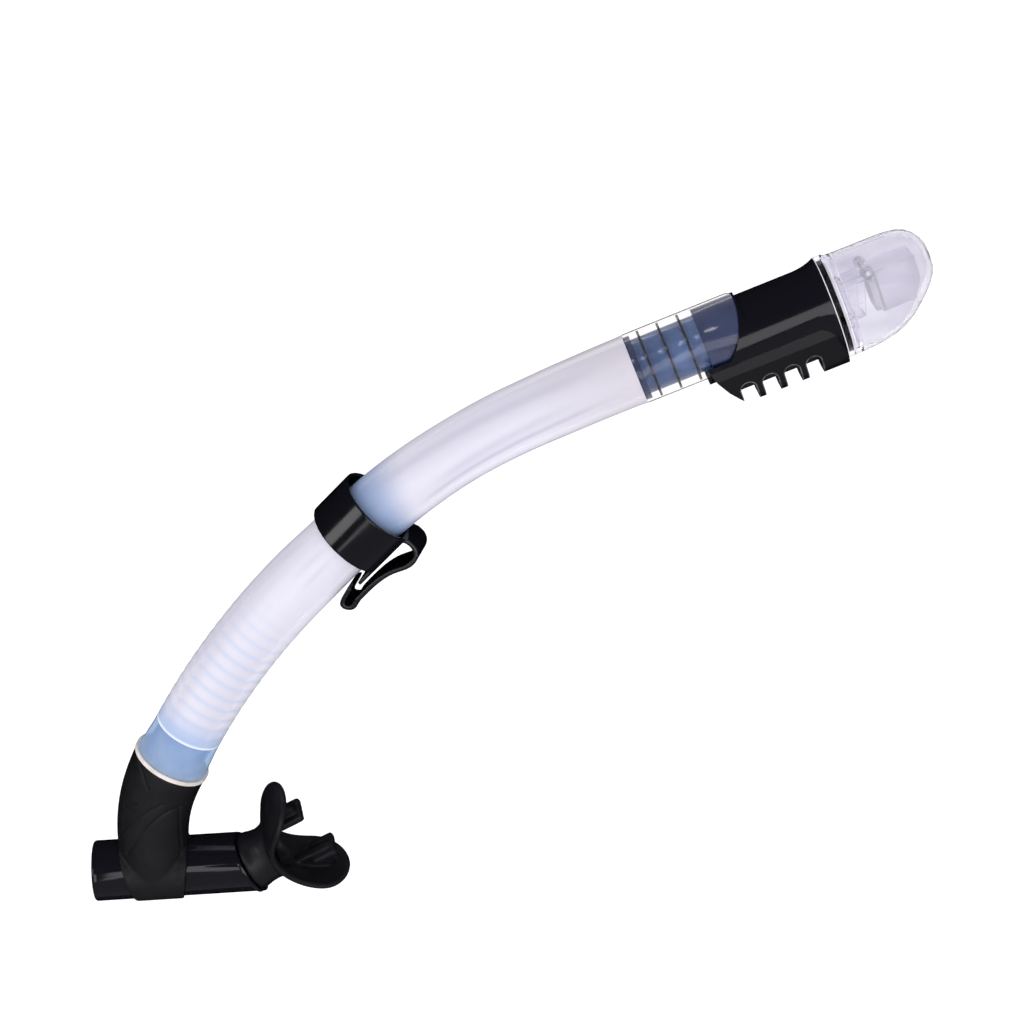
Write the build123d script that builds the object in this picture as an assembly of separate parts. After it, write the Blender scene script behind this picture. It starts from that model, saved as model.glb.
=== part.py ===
from build123d import *
from math import cos, radians, sin
import os

# Dry-top snorkel, millimetres. The tube lies in the XZ plane: the mouthpiece end is low, the dry top is high.
# Every piece is first built on the purge barrel's frame (barrel axis along X through the origin) and is
# moved last of all, so that the finished part has its origin in the strap slot of the mask clip.

# ---- Driving dimensions ----------------------------------------------------------------------------------
WALL = 3.0                      # silicone tube
BORE = 10.8                     # radius of the airway in the silicone tube
# The airway's centreline climbs out of the barrel: length and turn of each stretch, in order.
RISER = (11.0, 0.0)
ELBOW = (41.5, 30.0)
STUB = (17.0, 0.0)
HOSE = (80.0, 15.0)
KEEPER_RUN = (42.0, 4.2)
BEND = (68.0, 17.5)
NECK = (46.0, 2.7)
ROUTE_START = (-18.0, 0.0)      # on the barrel axis, heading straight up
ROUTE = (RISER, ELBOW, STUB, HOSE, KEEPER_RUN, BEND, NECK)

BARREL_RADIUS = 12.4
BARREL_BORE = 10.4
BARREL_LEFT = -41.0
NECK_X = 21.0                   # where the barrel's oblique end crosses its axis
NECK_RISE = 27.0                # degrees from the barrel axis up to the mouthpiece axis
MOUTH_ROLL = -70.0              # how the mouthpiece is turned on its neck
SWIVEL_RADIUS = 9.6
RUNNING_GAP = 0.07
DUCT_RADIUS = 12.2
DUCT_BORE = 10.2
SEAT_X = BARREL_LEFT + 2.9       # outer face of the purge valve's seat
STEM_RADIUS = 1.5
RING_THICK = 1.7
RING_RADIUS = 15.8

KEEPER_AT = 184.6               # distance along the route of the mask clip's ring
KEEPER_BORE = 15.8
KEEPER_RADIUS = 17.2
KEEPER_WIDTH = 19.5
KEEPER_LEAN = 5.0               # the loose ring leans on the tube, in the tube's plane
KEEPER_TIP = 5.0                # and out of it
KEEPER_ROLL = -14.0             # and is turned a little round it
CLIP_FLAT = 14.1                # the ring has a flat inside where it carries the strap clip
CLIP_WIDTH = 18.0
CLIP_THICK = 1.9

SPIGOT_RADIUS = 10.9
SPIGOT_BORE = 9.2
RIB_RADIUS = 13.4
TUBE_TOP_RADIUS = 13.8
BODY_RADIUS = 14.0
BODY_DROP = -2.3                # the valve housing's body sits below the spigot's axis
JOINT_X = 76.0                  # from the spigot's end to the joint with the clear cap
OVAL = (14.0, -27.1, 15.4)      # top, bottom and half width of the oval at that joint
CAP_WALL = 1.7
CHAMBER_WALL = 2.2
SLOT_WIDTH = 6.0
SLOT_PITCH = 8.7
SLOTS = 4
PIN_AT = (92.3, 4.0)            # float hinge pin
PIN_RADIUS = 1.0
SWING = 15.0                    # degrees the float turns to shut the airway
FLOAT_LOW = -13.0
FLOAT_HIGH = 3.5
FLOAT_HALF = 6.8                # half of the float's width
FLOAT_NOSE = 110.4


def ahead(distance):
    """Place, on the airway's centreline, of a frame with +X along the tube and +Z towards its outer bend."""
    x, z = ROUTE_START
    slope = 90.0
    for length, turn in ROUTE + ((1000.0, 0.0),):
        step = min(distance, length)
        if turn:
            radius = length / radians(turn)
            new_slope = slope - turn * step / length
            x += radius * (sin(radians(slope)) - sin(radians(new_slope)))
            z += radius * (cos(radians(new_slope)) - cos(radians(slope)))
            slope = new_slope
        else:
            x += step * cos(radians(slope))
            z += step * sin(radians(slope))
        distance -= step
        if distance <= 0:
            break
    return Location((x, 0, z), (0, -slope, 0))


RING_AT = RISER[0] + ELBOW[0]
HOSE_END = RING_AT + STUB[0] + HOSE[0]
SPIGOT_AT = sum(length for length, _ in ROUTE)
TOP = ahead(SPIGOT_AT)
MOUTH_AXIS = Location((NECK_X, 0, 0), (0, -NECK_RISE, 0))
MOUTH = MOUTH_AXIS * Location((0, 0, 0), (MOUTH_ROLL, 0, 0))


# ---- Small shape helpers ---------------------------------------------------------------------------------
def disc(x, radius):
    return Plane.YZ.offset(x) * Circle(radius)


def rod(x0, x1, radius):
    return extrude(disc(x0, radius), amount=x1 - x0)


def ring(x0, x1, radius, bore):
    return rod(x0, x1, radius) - rod(x0 - 1, x1 + 1, bore)


def box(x0, x1, y0, y1, z0, z1):
    return Pos((x0 + x1) / 2, (y0 + y1) / 2, (z0 + z1) / 2) * Box(abs(x1 - x0), abs(y1 - y0), abs(z1 - z0))


def slab(outline, half_width):
    """Solid of an XZ outline, as wide as asked to both sides of the middle plane."""
    return extrude(Plane.XZ * outline, amount=half_width, both=True)


def pipe(stations):
    """Round solid along the route, through the given (distance, radius) stations."""
    return loft([ahead(distance) * disc(0, radius) for distance, radius in stations])


def even(start, end, radius, step=12.0):
    """Stations of one radius, close enough together to follow the bend."""
    count = max(2, round((end - start) / step) + 1)
    return [(start + (end - start) * i / (count - 1), radius) for i in range(count)]


def oval(x, top, bottom, half_width):
    height = top - bottom
    return Plane.YZ.offset(x) * Pos(0, (top + bottom) / 2) * Ellipse(half_width, height / 2)


def oval_at_joint(x, inset):
    top, bottom, half_width = OVAL
    return oval(x, top - inset, bottom + inset, half_width - inset)


def oval_disc(x0, x1, inset):
    return extrude(oval_at_joint(x0, inset), amount=x1 - x0)


# ---- Lower end: barrel, elbow, purge valve ---------------------------------------------------------------
def purge_barrel():
    lip = MOUTH_AXIS * rod(-1.4, 0, BARREL_RADIUS + 0.9)
    shell = rod(BARREL_LEFT, NECK_X + 12, BARREL_RADIUS)
    shell += pipe(even(0, RING_AT + 17, DUCT_RADIUS))
    shell += lip
    shell -= MOUTH_AXIS * box(0, 40, -30, 30, -30, 30)
    shell -= rod(BARREL_LEFT - 1, NECK_X - 7, BARREL_BORE)
    shell -= pipe(even(0, RING_AT + 20, DUCT_BORE))
    shell -= MOUTH_AXIS * rod(-9, 1, SWIVEL_RADIUS + RUNNING_GAP)
    return shell


def elbow_boot():
    middle = ROUTE_START[0]
    sides = Polyline((-14.4, 14), (-12.5, 6), (-7.5, -14), (10.5, -14), (13.8, 6), (13.8, 14), close=True)
    over_barrel = rod(middle - 16, middle + 16, BARREL_RADIUS + 1.1) & Pos(middle, 0, 0) * slab(make_face(sides), 30)
    cuff = [(0, 13.4), (10, 14.2), (24, 14.6), (38, 15.0), (RING_AT, 15.5)]
    boot = over_barrel + pipe(cuff)
    boot -= rod(-60, 20, BARREL_RADIUS)
    return boot - pipe(even(0, RING_AT + 2, DUCT_RADIUS))


def hose_trim_ring():
    return ahead(RING_AT) * ring(0, RING_THICK, RING_RADIUS, DUCT_RADIUS + 0.3)


def purge_seat():
    seat = rod(SEAT_X, SEAT_X + 2, BARREL_BORE)
    spokes = 6
    for i in range(spokes):
        window = Pos(0, 6.3, 0) * Rot(0, 90, 0) * Cylinder(2.2, 6)
        seat -= Pos(SEAT_X + 1, 0, 0) * Rot(360 / spokes * i, 0, 0) * window
    return seat - rod(SEAT_X - 1, SEAT_X + 4, STEM_RADIUS + RUNNING_GAP)


def purge_diaphragm():
    disc_out = SEAT_X - 0.1
    return (
        rod(disc_out - 1.2, disc_out, 8.6)
        + rod(disc_out, SEAT_X + 3.4, STEM_RADIUS)
        + rod(SEAT_X + 3.4, SEAT_X + 5, STEM_RADIUS + 0.8)
    )


def purge_cover():
    cover = rod(BARREL_LEFT - 2.1, BARREL_LEFT, BARREL_RADIUS)
    cover = fillet(cover.faces().sort_by(Axis.X)[0].edges(), 1.2)
    cover += ring(BARREL_LEFT, SEAT_X, BARREL_BORE, 9.2)
    for i in range(-2, 3):
        length = 16.5 if i else 18.0
        slot = Rot(0, 90, 0) * extrude(Rot(0, 0, 90) * SlotOverall(length - abs(i) * 2, 1.8), 6, both=True)
        cover -= Pos(BARREL_LEFT, 0, i * 3.5) * slot
    return cover


# ---- Tube ------------------------------------------------------------------------------------------------
def flex_hose():
    cuff = 17.0
    start = RING_AT + RING_THICK
    outside = [(start, 15.0), (start + 4, 14.4), (RING_AT + 12, 13.9), (RING_AT + 24, 13.9)]
    hose = pipe(outside + even(RING_AT + 36, HOSE_END, BORE + WALL))
    hose -= pipe(even(RING_AT - 1, RING_AT + cuff, DUCT_RADIUS))
    hose -= pipe(even(RING_AT + cuff - 1, HOSE_END + 1, BORE))
    pitch = 5.4
    for i in range(14):
        groove = Rot(0, 90, 0) * Torus(BORE, 1.5)
        hose -= ahead(RING_AT + 21 + pitch * i) * groove
    return hose


def tube_end_cut():
    """Keeps the tube's top end to the curved edge that its moulding has on the housing."""
    return TOP * slab(Pos(6, 20) * Circle(38.4), 30)


def upper_tube():
    outside = [(HOSE_END, 13.8), (HOSE_END + 12, 13.4), (HOSE_END + 30, 13.3), (HOSE_END + 46, 13.3)]
    outside += [(HOSE_END + 62, 13.2), (HOSE_END + 84, 12.9), (HOSE_END + 108, 13.1), (HOSE_END + 130, 13.4)]
    outside += [(SPIGOT_AT - 8, 13.6), (SPIGOT_AT + 2, TUBE_TOP_RADIUS), (SPIGOT_AT + 14, TUBE_TOP_RADIUS)]
    end = TOP * rod(13.9, 60, TUBE_TOP_RADIUS) & tube_end_cut()
    tube = pipe(outside) + end
    tube -= pipe(even(HOSE_END - 1, SPIGOT_AT + 1, BORE))
    return tube - TOP * spigot_blank()


# ---- Mask clip -------------------------------------------------------------------------------------------
def keeper_place():
    """Frame of the loose ring: +X along its bore, -Z towards the strap clip."""
    return ahead(KEEPER_AT) * Pos(0, 0, -0.5) * Rot(0, -KEEPER_LEAN, -KEEPER_TIP) * Rot(KEEPER_ROLL, 0, 0)


def keeper():
    half = KEEPER_WIDTH / 2
    wall = KEEPER_RADIUS - KEEPER_BORE
    under = box(-20, 20, -20, 20, -30, -CLIP_FLAT)
    band = ring(-half, half, KEEPER_RADIUS, KEEPER_BORE) - under
    band += rod(-half, half, KEEPER_RADIUS) & box(-20, 20, -20, 20, -CLIP_FLAT - wall, -CLIP_FLAT)
    tongue = box(-17.0, 0, -CLIP_WIDTH / 2, CLIP_WIDTH / 2, -CLIP_FLAT - wall, -CLIP_FLAT)
    run = Spline(
        (half - 0.8, -14.9), (9.8, -17.6), (8.6, -21.8), (4.8, -23.4), (-2.6, -21.0), (-9.6, -19.2),
        (-16.6, -18.8), (-23.6, -18.9),
    )
    hook = Spline((-23.6, -18.9), (-27.6, -18.4), (-28.3, -16.4), (-25.6, -14.7), (-20.9, -13.3))
    clip = slab(trace(run, CLIP_THICK), CLIP_WIDTH / 2) + slab(trace(hook, CLIP_THICK), CLIP_WIDTH / 2)
    return keeper_place() * (band + Pos(0, 1, 0) * (tongue + clip))


SLOT_MIDDLE = keeper_place() * Pos(-8.0, 0, -16.8)


# ---- Dry top ---------------------------------------------------------------------------------------------
def spigot_blank():
    """Outside of the barbed stub that the tube is moulded on."""
    blank = rod(-0.5, 28, SPIGOT_RADIUS) + rod(-0.5, 2.2, SPIGOT_RADIUS + 1.9)
    blank += rod(27, 44, RIB_RADIUS - 0.2)
    for x in (5.7, 13.6, 21.6):
        blank += rod(x - 0.45, x + 0.45, RIB_RADIUS)
    return blank


def keel_section(inset):
    flank = Pos(0, -9.5) * Rectangle(2 * (12.8 - inset), 6)
    belly = Pos(0, -19.7) * Circle(9.5 - inset)
    return make_hull((flank + belly).edges())


def keel():
    side = Polyline(
        (24, -4), (26.5, -13), (29.5, -19.5), (33.5, -25.7), (42, -28.4), (JOINT_X, -29.2), (JOINT_X, -4), close=True
    )
    body = extrude(Plane.YZ.offset(20) * keel_section(0), amount=JOINT_X - 20)
    return body & slab(make_face(side), 30)


def vent_slots():
    arch = Pos(0, -20.8) * Circle(SLOT_WIDTH / 2) + Pos(0, -27.8) * Rectangle(SLOT_WIDTH, 14)
    return [Pos(36.8 + SLOT_PITCH * i, 0, 0) * slab(arch, 30) for i in range(SLOTS)]


def valve_housing():
    tube_room = rod(-5, 60, TUBE_TOP_RADIUS) & slab(Pos(6, 20) * Circle(38.4), 30)
    body = Pos(0, 0, BODY_DROP) * rod(24, JOINT_X, BODY_RADIUS) + keel()
    body -= slab(Pos(6, 20) * Circle(38.4), 30) & box(0, 60, -30, 30, -40, 30) & rod(0, 60, 40) - keel()
    body -= tube_room
    housing = body + spigot_blank()
    neck = Plane.YZ.offset(JOINT_X - 12) * Pos(0, BODY_DROP) * Circle(BODY_RADIUS)
    swell = Plane.YZ.offset(JOINT_X - 5) * Pos(0, BODY_DROP - 0.6) * Ellipse(BODY_RADIUS + 0.2, BODY_RADIUS + 1.0)
    housing += loft([neck, swell, oval_at_joint(JOINT_X, 0)])
    chamber = extrude(Plane.YZ.offset(34.5) * keel_section(CHAMBER_WALL), amount=60)
    housing -= chamber & box(0, 100, -30, 30, -30, -12.0)
    housing -= rod(-1, JOINT_X + 1, SPIGOT_BORE)
    for slot in vent_slots():
        housing -= slot
    return TOP * housing


def cap_collar():
    """Dark ring with latch windows between the housing and the cap's valve plate."""
    collar = oval_disc(JOINT_X, JOINT_X + 3.4, CAP_WALL + 0.1) - oval_disc(JOINT_X - 1, JOINT_X + 5, CAP_WALL + 3.2)
    for side in (-1, 1):
        collar -= box(JOINT_X + 1.0, JOINT_X + 2.6, side * 11, side * 16, -8.0, -1.0)
    return TOP * collar


def cap_seal():
    return TOP * (oval_disc(JOINT_X, JOINT_X + 3.4, CAP_WALL + 3.2) - oval_disc(JOINT_X - 1, JOINT_X + 5, CAP_WALL + 4.4))


def duct_outline(inset):
    middle = (FLOAT_HIGH + FLOAT_LOW) / 2
    height = FLOAT_HIGH - FLOAT_LOW
    return Plane.YZ * Pos(0, middle) * RectangleRounded(14.8 - 2 * inset, height - 2 * inset, 3.2 - inset)


def intake_chimney():
    """Clear plate across the cap joint, with the air duct that the float's pad shuts."""
    base = JOINT_X + 3.4
    part = oval_disc(base, base + 3.2, CAP_WALL + 0.1) + oval_disc(JOINT_X, base + 3.2, CAP_WALL + 4.4)
    part += Pos(JOINT_X, 0, 0) * extrude(duct_outline(0), amount=20)
    pin_x, pin_z = PIN_AT
    mouth = Pos(pin_x, 0, pin_z) * Rot(0, SWING, 0) * box(-1.0, 40, -30, 30, -40, 10)
    part -= mouth
    for side in (-1, 1):
        ear = slab(Pos(pin_x, pin_z) * Circle(2.2) + Pos(pin_x - 6, pin_z) * Rectangle(12, 4.4), 0.65)
        ear += box(base, pin_x - 5, -0.65, 0.65, -6, pin_z + 1)
        part += Pos(0, side * 7.75, 0) * ear
    part -= Pos(JOINT_X - 5, 0, 0) * extrude(duct_outline(1.3), amount=30)
    part -= Pos(pin_x, 0, pin_z) * Rot(90, 0, 0) * Cylinder(2.5, 13.8)
    part -= rod(JOINT_X - 1, JOINT_X + 2, SPIGOT_BORE - 0.8)
    water_way = Pos(0, -19.0) * SlotOverall(17, 9)
    part -= extrude(Plane.YZ.offset(JOINT_X - 1) * water_way, amount=12)
    part -= Pos(pin_x, 0, pin_z) * Rot(90, 0, 0) * Cylinder(PIN_RADIUS, 40)
    return TOP * part


def cap_blank(inset):
    """Oval dome that stays level on top and curves up from below to a blunt nose."""
    stations = (
        (83, 13.2, -27.0, 15.1), (87, 13.1, -26.8, 15.1), (91, 13.1, -26.3, 15.1), (96, 13.1, -25.0, 15.0),
        (100, 13.1, -23.3, 14.8), (104, 13.0, -20.8, 14.3), (108.5, 12.4, -16.8, 13.2), (111.7, 10.9, -13.6, 11.6),
        (114.5, 7.4, -10.2, 8.8), (116.8, 3.0, -6.2, 4.6),
    )
    sections = []
    for x, top, bottom, half_width in stations:
        back = x - inset * (x - 83) / 34
        sections.append(oval(back, top - inset, bottom + inset, half_width - inset))
    return loft(sections)


def clear_cap():
    skirt_end = 83.0
    shell = cap_blank(0) + oval_disc(JOINT_X, skirt_end, 0)
    shell -= cap_blank(CAP_WALL)
    shell -= extrude(oval_at_joint(JOINT_X - 1, CAP_WALL), amount=skirt_end - JOINT_X + 1)
    return TOP * shell


def hinge_pin():
    pin_x, pin_z = PIN_AT
    return TOP * Pos(pin_x, 0, pin_z) * Rot(90, 0, 0) * Cylinder(PIN_RADIUS, 16.8)


def float_lid():
    pin_x, pin_z = PIN_AT
    lid = box(93.5, 94.9, -FLOAT_HALF, FLOAT_HALF, FLOAT_LOW, FLOAT_HIGH)
    for side in (-1, 1):
        eye = slab(Pos(pin_x, pin_z) * Circle(2.1) + Pos(pin_x + 1.3, pin_z - 1.0) * Rectangle(2.6, 2.0), 1.15)
        lid += Pos(0, side * 5.5, 0) * eye
    lid -= Pos(pin_x, 0, pin_z) * Rot(90, 0, 0) * Cylinder(PIN_RADIUS + RUNNING_GAP, 40)
    return TOP * lid


def float_outline(inset):
    """Side view of the hollow float, blunt where it faces the dome."""
    nose, low, high = FLOAT_NOSE - inset, FLOAT_LOW + inset, FLOAT_HIGH - inset
    start = 94.9 if inset == 0 else 94.0
    outline = Polyline((start, high), (nose, high), (nose, -5.0), (nose - 3.6, low), (start, low), close=True)
    return make_face(outline)


def float_shell():
    return TOP * (slab(float_outline(0), FLOAT_HALF) - slab(float_outline(1.1), FLOAT_HALF - 1.1))


def seal_pad():
    pad = Plane.YZ.offset(91.7) * Pos(0, -5.7) * RectangleRounded(2 * FLOAT_HALF, 14.6, 3.0)
    return TOP * extrude(pad, amount=1.8)


# ---- Mouthpiece ------------------------------------------------------------------------------------------
ARCH_RADIUS = 30.0
ARCH_THICK = 2.2
ARCH_AT = 9.5                   # along the neck, from the barrel's end to the back of the shield


def shield():
    """Curved shield that sits between lips and teeth."""
    centre = ARCH_AT + ARCH_RADIUS
    tall = 14.0
    arch = Pos(centre, 0, 0) * (Cylinder(ARCH_RADIUS, 2 * tall) - Cylinder(ARCH_RADIUS - ARCH_THICK, 2 * tall + 2))
    side_view = Pos(8, 0) * Rectangle(20, 2 * 12.2) + Pos(18.3, 0) * Circle(12.8)
    front_view = Rectangle(36, 2 * 11.6)
    for side in (-1, 1):
        front_view += Pos(side * 18.6, 0) * Circle(13.0)
    arch &= slab(side_view, 40)
    return arch & extrude(Plane.YZ * front_view, amount=60)


def bite_tab(side):
    """Level wing between the teeth, with an upright lug behind them."""
    wing = box(18.5, 33.0, side * 14.0, side * 28.6, -1.9, 1.7)
    wing &= Pos(ARCH_AT + ARCH_RADIUS, 0, 0) * Cylinder(ARCH_RADIUS - 1.0, 40)
    lug = box(21.6, 34.0, side * 12.6, side * 16.0, -4.6, 4.6)
    lug = fillet(lug.edges().filter_by(Axis.Y), 1.6)
    return wing + lug


def mouthpiece():
    piece = rod(0.3, ARCH_AT + 3, 12.3) + shield()
    for side in (-1, 1):
        piece += bite_tab(side)
    piece -= rod(0, ARCH_AT - 1.0, SWIVEL_RADIUS)
    piece -= rod(0, 14, 7.8)
    return MOUTH * piece


def swivel_adapter():
    adapter = ring(-4.4, ARCH_AT - 1.0, SWIVEL_RADIUS, 7.8)
    return MOUTH * (adapter - Pos(-2.2, 0, 0) * Rot(0, 90, 0) * Torus(SWIVEL_RADIUS - 0.72, 0.77))


def swivel_seal():
    return MOUTH * Pos(-2.2, 0, 0) * Rot(0, 90, 0) * Torus(SWIVEL_RADIUS - 0.72, 0.74)


# ---- Write the parts -------------------------------------------------------------------------------------
NODES = {
    "purge_barrel": purge_barrel,
    "elbow_boot": elbow_boot,
    "hose_trim_ring": hose_trim_ring,
    "purge_seat": purge_seat,
    "purge_diaphragm": purge_diaphragm,
    "purge_cover": purge_cover,
    "flex_hose": flex_hose,
    "upper_tube": upper_tube,
    "keeper": keeper,
    "valve_housing": valve_housing,
    "cap_collar": cap_collar,
    "cap_seal": cap_seal,
    "intake_chimney": intake_chimney,
    "clear_cap": clear_cap,
    "hinge_pin": hinge_pin,
    "float_lid": float_lid,
    "float_shell": float_shell,
    "seal_pad": seal_pad,
    "mouthpiece": mouthpiece,
    "swivel_adapter": swivel_adapter,
    "swivel_seal": swivel_seal,
}

os.makedirs("parts", exist_ok=True)
to_origin = Pos(-SLOT_MIDDLE.position.X, -SLOT_MIDDLE.position.Y, -SLOT_MIDDLE.position.Z)
for name, make in NODES.items():
    export_step(to_origin * make(), f"parts/{name}.step")
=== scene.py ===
"""Dry-top snorkel: the visual model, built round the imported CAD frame."""
from math import cos, exp, pi, radians, sin, tan

import bmesh
import bpy
import numpy as np
from mathutils import Matrix, Vector


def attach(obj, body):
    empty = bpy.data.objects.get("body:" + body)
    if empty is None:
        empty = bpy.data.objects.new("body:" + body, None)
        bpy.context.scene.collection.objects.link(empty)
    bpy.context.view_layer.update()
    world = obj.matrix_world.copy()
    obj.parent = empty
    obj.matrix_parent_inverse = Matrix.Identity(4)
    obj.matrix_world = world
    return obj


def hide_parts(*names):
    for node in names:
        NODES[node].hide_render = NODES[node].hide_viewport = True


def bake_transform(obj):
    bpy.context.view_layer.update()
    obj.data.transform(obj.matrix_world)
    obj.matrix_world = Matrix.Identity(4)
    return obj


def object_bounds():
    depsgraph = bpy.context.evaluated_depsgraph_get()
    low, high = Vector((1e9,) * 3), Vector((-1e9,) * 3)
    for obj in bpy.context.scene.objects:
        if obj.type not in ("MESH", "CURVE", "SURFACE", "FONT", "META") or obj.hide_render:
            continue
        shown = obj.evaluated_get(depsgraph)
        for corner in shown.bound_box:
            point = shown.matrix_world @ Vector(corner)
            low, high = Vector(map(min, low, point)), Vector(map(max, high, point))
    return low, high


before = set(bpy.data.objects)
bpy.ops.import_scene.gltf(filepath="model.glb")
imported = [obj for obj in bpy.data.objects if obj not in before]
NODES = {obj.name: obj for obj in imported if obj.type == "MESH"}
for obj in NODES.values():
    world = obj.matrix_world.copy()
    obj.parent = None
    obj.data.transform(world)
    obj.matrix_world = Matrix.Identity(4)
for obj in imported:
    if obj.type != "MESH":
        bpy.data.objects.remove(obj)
CAD_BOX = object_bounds()

# ---- The frame: millimetres on the purge barrel's axis, turned into metres on the strap slot -----
SLOT = Vector((81.6674, -3.3516, 135.049))
# Lengths of the airway's centreline, each with its turn in degrees, from the barrel's axis up
ROUTE = ((11.0, 0.0), (41.5, 30.0), (17.0, 0.0), (80.0, 15.0), (42.0, 4.2), (68.0, 17.5), (46.0, 2.7))
ROUTE_START = (-18.0, 0.0)
RING_AT = 52.5                     # distances along that line
RING_THICK = 1.7
HOSE_END = 149.5
KEEPER_AT = 184.6
SPIGOT_AT = 305.5
BORE = 10.8
DUCT_RADIUS = 12.2
SPIGOT_RADIUS = 10.9
SPIGOT_LENGTH = 27.0
RIB_RADIUS = 13.4
TUBE_END_ARC = (6.0, 20.0, 38.4)   # along and above the dry top's axis, and the radius


def ahead(distance):
    """Matrix, in millimetres, of the frame on the airway's centreline: +X along it, +Z to its outer bend."""
    x, z = ROUTE_START
    slope = 90.0
    for length, turn in ROUTE + ((1000.0, 0.0),):
        step = min(distance, length)
        if turn:
            radius = length / radians(turn)
            new_slope = slope - turn * step / length
            x += radius * (sin(radians(slope)) - sin(radians(new_slope)))
            z += radius * (cos(radians(new_slope)) - cos(radians(slope)))
            slope = new_slope
        else:
            x += step * cos(radians(slope))
            z += step * sin(radians(slope))
        distance -= step
        if distance <= 0:
            break
    return Matrix.Translation((x, 0, z)) @ Matrix.Rotation(-radians(slope), 4, "Y")


TO_ROW = Matrix.Scale(0.001, 4) @ Matrix.Translation(-SLOT)
TOP = ahead(SPIGOT_AT)
MOUTH_AXIS = Matrix.Translation((21.0, 0, 0)) @ Matrix.Rotation(-radians(27.0), 4, "Y")
MOUTH = MOUTH_AXIS @ Matrix.Rotation(radians(-70.0), 4, "X")


def row(matrix, x, y, z):
    """A point of a frame in millimetres, as a point of the scene in metres."""
    return TO_ROW @ matrix @ Vector((x, y, z))


# ---- Camera --------------------------------------------------------------------------------------
VIEW_AZIMUTH = -4.0
VIEW_ELEVATION = 25.0
VIEW_ROLL = 1.28
VIEW_ANGLE = 28.0
VIEW_DISTANCE = 794.7
VIEW_TARGET = (132.8, 0, 153.5)


def add_camera():
    azimuth, elevation, roll = (radians(v) for v in (VIEW_AZIMUTH, VIEW_ELEVATION, VIEW_ROLL))
    back = Vector((sin(azimuth) * cos(elevation), -cos(azimuth) * cos(elevation), sin(elevation)))
    level = Vector((cos(azimuth), sin(azimuth), 0))
    raised = back.cross(level)
    right = cos(roll) * level - sin(roll) * raised
    up = sin(roll) * level + cos(roll) * raised
    data = bpy.data.cameras.new("camera")
    data.sensor_width = 36.0
    data.lens = 18.0 / tan(radians(VIEW_ANGLE / 2))
    data.clip_start, data.clip_end = 0.01, 50.0
    camera = bpy.data.objects.new("camera", data)
    bpy.context.collection.objects.link(camera)
    place = Matrix((right, up, back)).transposed().to_4x4()
    place.translation = TO_ROW @ (Vector(VIEW_TARGET) + back * VIEW_DISTANCE)
    camera.matrix_world = place
    bpy.context.scene.camera = camera


# ---- Materials -----------------------------------------------------------------------------------
BLACK = (0.0055, 0.005, 0.008)


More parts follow.
